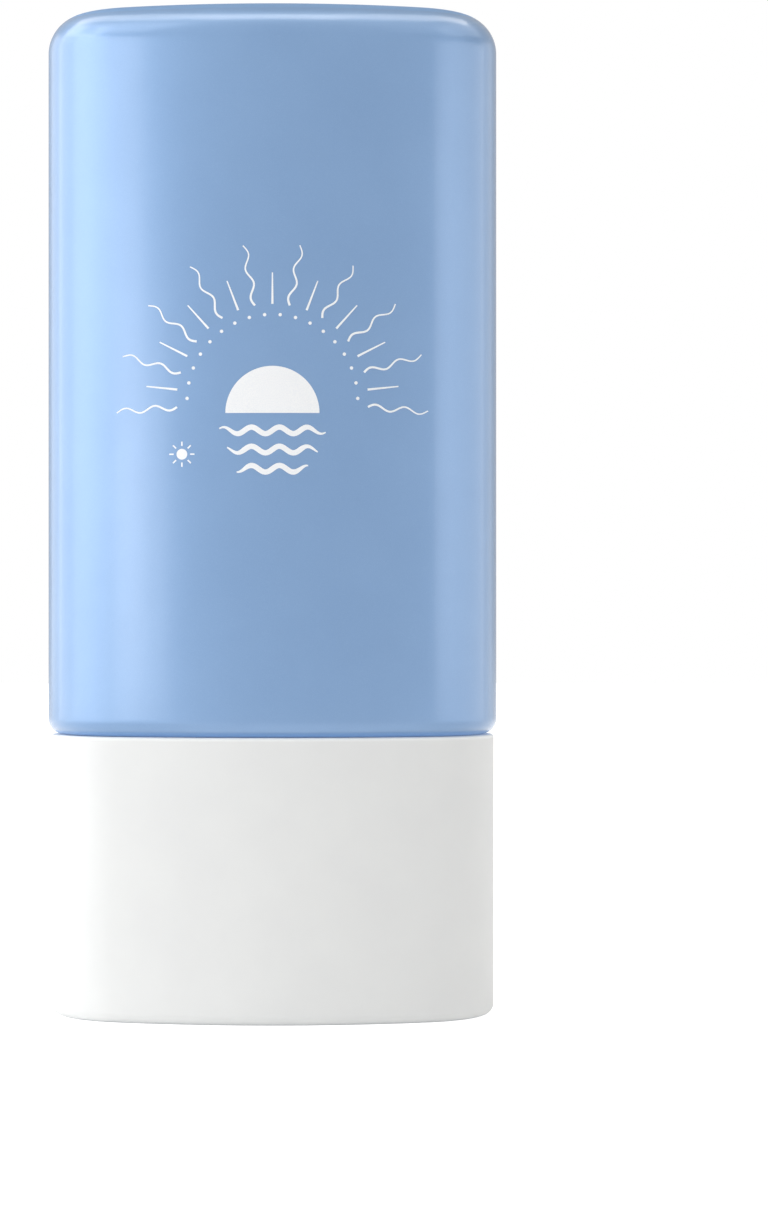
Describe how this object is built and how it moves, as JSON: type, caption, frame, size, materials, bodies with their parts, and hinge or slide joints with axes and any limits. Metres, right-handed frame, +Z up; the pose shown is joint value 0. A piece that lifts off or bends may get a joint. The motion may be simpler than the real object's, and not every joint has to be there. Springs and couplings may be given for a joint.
{
  "type": "squeeze bottle",
  "caption": "Flat oval squeeze bottle standing on a flush oval screw cap, with a pressed-in nozzle, foam liner and threaded inner cap.",
  "frame": {"origin": "middle of the cap's standing face, on the neck's axis", "axes": "+Z up along the neck through the cap and the bottle to the bottle's base, front (the decorated side) towards -Y, +X to the right as seen from the front"},
  "size_m": [0.053, 0.029, 0.118],
  "materials": {
    "bottle_body": "satin pale blue polyethylene with a soft sheen",
    "plug": "waxy natural low-density polyethylene",
    "liner": "white closed-cell polyethylene foam",
    "inner_cap": "natural polypropylene, as moulded",
    "outer_cap": "white polypropylene with a low gloss"
  },
  "bodies": {
    "cap": {"outer_cap": "outer_cap", "inner_cap": "inner_cap"},
    "liner": {"cap_liner": "liner"},
    "bottle": {"bottle": "bottle_body", "nozzle_plug": "plug"}
  },
  "joints": [
    {"name": "bottle_turn", "type": "hinge", "parent": "cap", "child": "liner", "pos_m": [0, 0, 0.0165], "axis": [0, 0, 1], "range_deg": [0, 1440]},
    {"name": "bottle_lift", "type": "slide", "parent": "liner", "child": "bottle", "axis": [0, 0, 1], "range_m": [0, 0.0281]}
  ],
  "couplings": [
    {"joint": "bottle_lift", "follows": "bottle_turn", "m_per_rad": 0.0011141}
  ]
}
